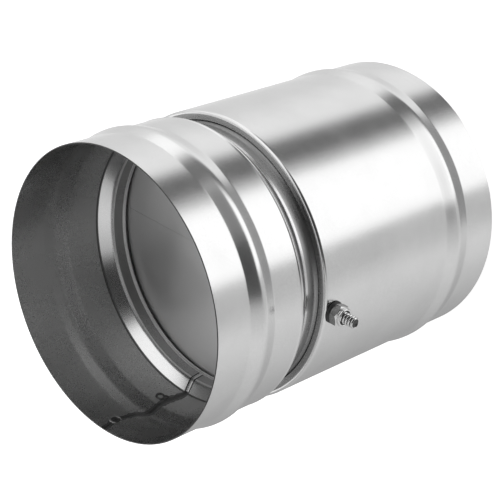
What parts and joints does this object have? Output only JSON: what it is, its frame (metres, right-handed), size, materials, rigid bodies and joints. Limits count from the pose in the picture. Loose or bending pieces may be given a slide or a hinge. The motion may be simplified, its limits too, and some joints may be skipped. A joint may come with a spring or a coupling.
{
  "type": "backdraft damper",
  "caption": "Round in-line butterfly backdraft damper of rolled bright sheet for a 150 mm duct, with two sprung half-round blades on one cross bolt.",
  "frame": {"origin": "centre of the outlet edge, on the duct axis; the part stands on that edge", "axes": "+Z along the duct axis from the outlet to the inlet, +Y along the hinge bolt from its nut to its head, +X square to both"},
  "size_m": [0.1536, 0.1707, 0.202],
  "materials": {
    "tube_sheet": "satin",
    "blade_sheet": "satin",
    "strap_sheet": "satin",
    "plated_steel": "bright zinc plate",
    "spring_wire": "drawn wire",
    "black_bush": "matt",
    "ring_nylon": "satin",
    "black_rubber": "matt"
  },
  "bodies": {
    "housing": {"inlet_collar": "tube_sheet", "main_body": "tube_sheet", "seat_seal": "black_rubber", "hinge_bolt": "plated_steel", "lock_nut": "plated_steel", "lock_nut_insert": "ring_nylon", "nut_side_bush": "black_bush", "head_side_bush": "black_bush", "nut_side_end_spacer": "black_bush", "nut_side_middle_spacer": "black_bush", "head_side_end_spacer": "black_bush", "head_side_middle_spacer": "black_bush", "torsion_spring": "spring_wire"},
    "right_flap": {"right_blade": "blade_sheet", "right_nut_side_strap": "strap_sheet", "right_head_side_strap": "strap_sheet"},
    "left_flap": {"left_blade": "blade_sheet", "left_nut_side_strap": "strap_sheet", "left_head_side_strap": "strap_sheet"}
  },
  "joints": [
    {"name": "right_blade_hinge", "type": "hinge", "parent": "housing", "child": "right_flap", "pos_m": [0, 0, 0.1244], "axis": [0, 1, 0], "range_deg": [0, 80], "stiffness_Nm_per_rad": 0.008, "springref_deg": -85.94, "deforming": ["torsion_spring"]},
    {"name": "left_blade_hinge", "type": "hinge", "parent": "housing", "child": "left_flap", "pos_m": [0, 0, 0.1244], "axis": [0, -1, 0], "range_deg": [0, 80], "stiffness_Nm_per_rad": 0.008, "springref_deg": -85.94, "deforming": ["torsion_spring"]}
  ]
}
